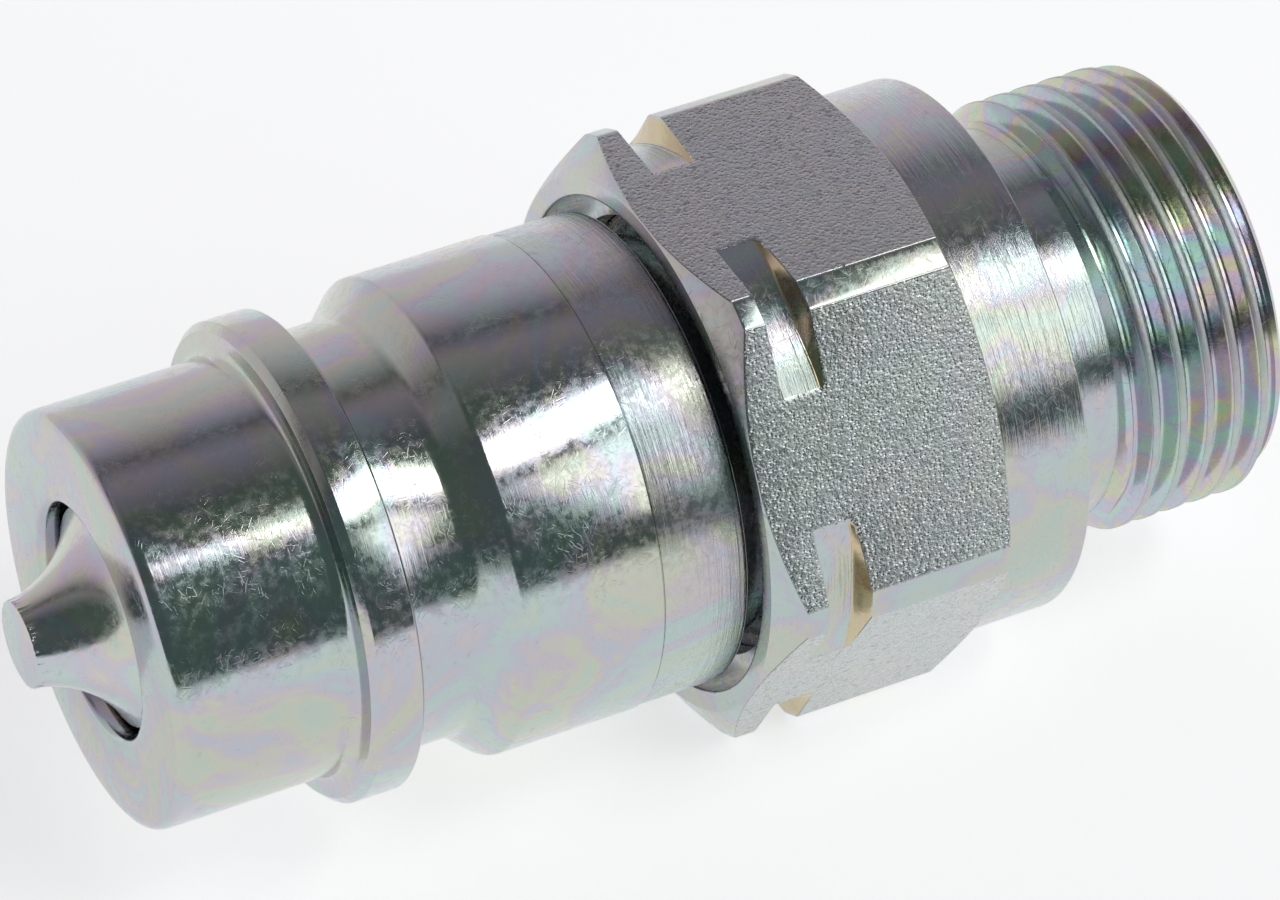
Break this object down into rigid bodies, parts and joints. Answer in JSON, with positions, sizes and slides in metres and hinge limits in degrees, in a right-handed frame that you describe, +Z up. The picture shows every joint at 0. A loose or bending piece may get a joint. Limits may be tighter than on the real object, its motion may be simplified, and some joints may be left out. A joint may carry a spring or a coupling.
{
  "type": "hydraulic quick coupling plug",
  "caption": "Plug half of a hydraulic quick coupling: turned body with lock groove and sprung poppet valve, screwed into a hexagonal adapter with a metric tube thread.",
  "frame": {"origin": "centre of the nose face, on the axis, where the plug meets the socket half", "axes": "+X along the axis from the nose to the tube end, +Z up with one hex flat facing down"},
  "size_m": [0.0618, 0.0304, 0.027],
  "materials": {
    "zinc_steel_turned": "bright zinc plate with a faint blue and pink passivation over turned steel",
    "zinc_steel_forged": "zinc plate over forged flats and turned chamfers, flange and thread",
    "poppet_steel": "bright turned zinc plate",
    "guide_steel": "plain turned steel",
    "spring_steel": "drawn spring wire",
    "black_rubber": "matt nitrile rubber",
    "pale_plastic": "smooth pale plastic"
  },
  "bodies": {
    "housing": {"plug_body": "zinc_steel_turned", "hex_adapter": "zinc_steel_forged", "valve_guide": "guide_steel", "retaining_ring": "spring_steel", "tail_seal": "black_rubber", "backup_ring": "pale_plastic", "valve_spring": "spring_steel"},
    "valve": {"poppet": "poppet_steel", "poppet_seal": "black_rubber"}
  },
  "joints": [
    {"name": "poppet_slide", "type": "slide", "parent": "housing", "child": "valve", "axis": [1, 0, 0], "range_m": [0, 0.0055], "stiffness_N_per_m": 2200, "springref_m": -0.008, "deforming": ["valve_spring"]}
  ]
}
